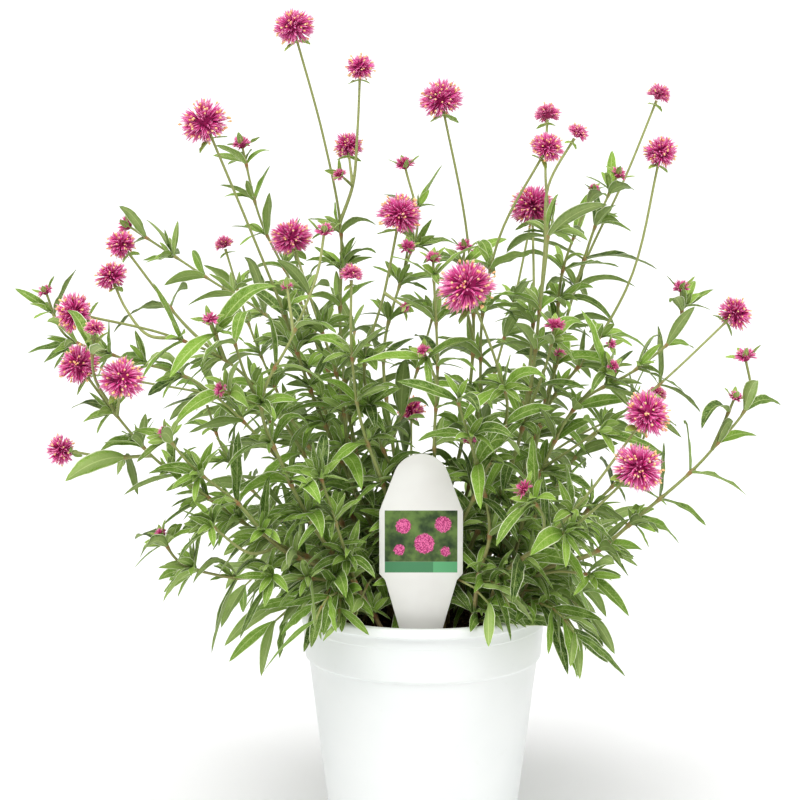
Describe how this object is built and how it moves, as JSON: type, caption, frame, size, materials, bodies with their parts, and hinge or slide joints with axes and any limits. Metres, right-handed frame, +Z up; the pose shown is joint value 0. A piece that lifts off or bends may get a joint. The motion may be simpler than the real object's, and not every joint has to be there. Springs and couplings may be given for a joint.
{
  "type": "potted globe amaranth",
  "caption": "Bushy globe amaranth with narrow paired leaves and spiky pink flower heads on long stalks, in a white nursery pot with soil and a plant label.",
  "frame": {"origin": "centre of the pot's flat underside", "axes": "+Z up, the plant label's printed face towards -Y, +X to the right as seen from the front"},
  "size_m": [0.4862, 0.361, 0.5455],
  "materials": {
    "pot_plastic": "semi-matte white moulded plastic with a slight sheen",
    "potting_mix": "dark crumbly potting mix of peat and bark",
    "label_plastic": "thin pale plastic label with a plain printed panel",
    "foliage": "soft matte grey-green leaf with pale hairy edges and midrib",
    "flower_pink": "papery magenta-pink florets with cream-yellow tips"
  },
  "bodies": {
    "root": {"flower_head_01": "flower_pink", "flower_head_02": "flower_pink", "flower_head_03": "flower_pink", "flower_head_04": "flower_pink", "flower_head_05": "flower_pink", "flower_head_06": "flower_pink", "flower_head_07": "flower_pink", "flower_head_08": "flower_pink", "flower_head_09": "flower_pink", "flower_head_10": "flower_pink", "flower_head_11": "flower_pink", "flower_head_12": "flower_pink", "flower_head_13": "flower_pink", "flower_head_14": "flower_pink", "flower_head_15": "flower_pink", "flower_head_16": "flower_pink", "flower_head_17": "flower_pink", "flower_head_18": "flower_pink", "flower_head_19": "flower_pink", "flower_head_20": "flower_pink", "flower_head_21": "flower_pink", "flower_head_22": "flower_pink", "flower_head_23": "flower_pink", "flower_head_24": "flower_pink", "flower_head_25": "flower_pink", "flower_head_26": "flower_pink", "flower_head_27": "flower_pink", "flower_head_28": "flower_pink", "flower_head_29": "flower_pink", "flower_head_30": "flower_pink", "flower_head_31": "flower_pink", "flower_head_32": "flower_pink", "flower_head_33": "flower_pink", "leafy_stem_01": "foliage", "leafy_stem_02": "foliage", "leafy_stem_03": "foliage", "leafy_stem_04": "foliage", "leafy_stem_05": "foliage", "leafy_stem_06": "foliage", "leafy_stem_07": "foliage", "leafy_stem_08": "foliage", "leafy_stem_09": "foliage", "leafy_stem_10": "foliage", "leafy_stem_11": "foliage", "leafy_stem_12": "foliage", "leafy_stem_13": "foliage", "leafy_stem_14": "foliage", "leafy_stem_15": "foliage", "leafy_stem_16": "foliage", "leafy_stem_17": "foliage", "leafy_stem_18": "foliage", "leafy_stem_19": "foliage", "leafy_stem_20": "foliage", "leafy_stem_21": "foliage", "leafy_stem_22": "foliage", "leafy_stem_23": "foliage", "leafy_stem_24": "foliage", "plant_label": "label_plastic", "pot": "pot_plastic", "soil": "potting_mix"}
  },
  "joints": []
}
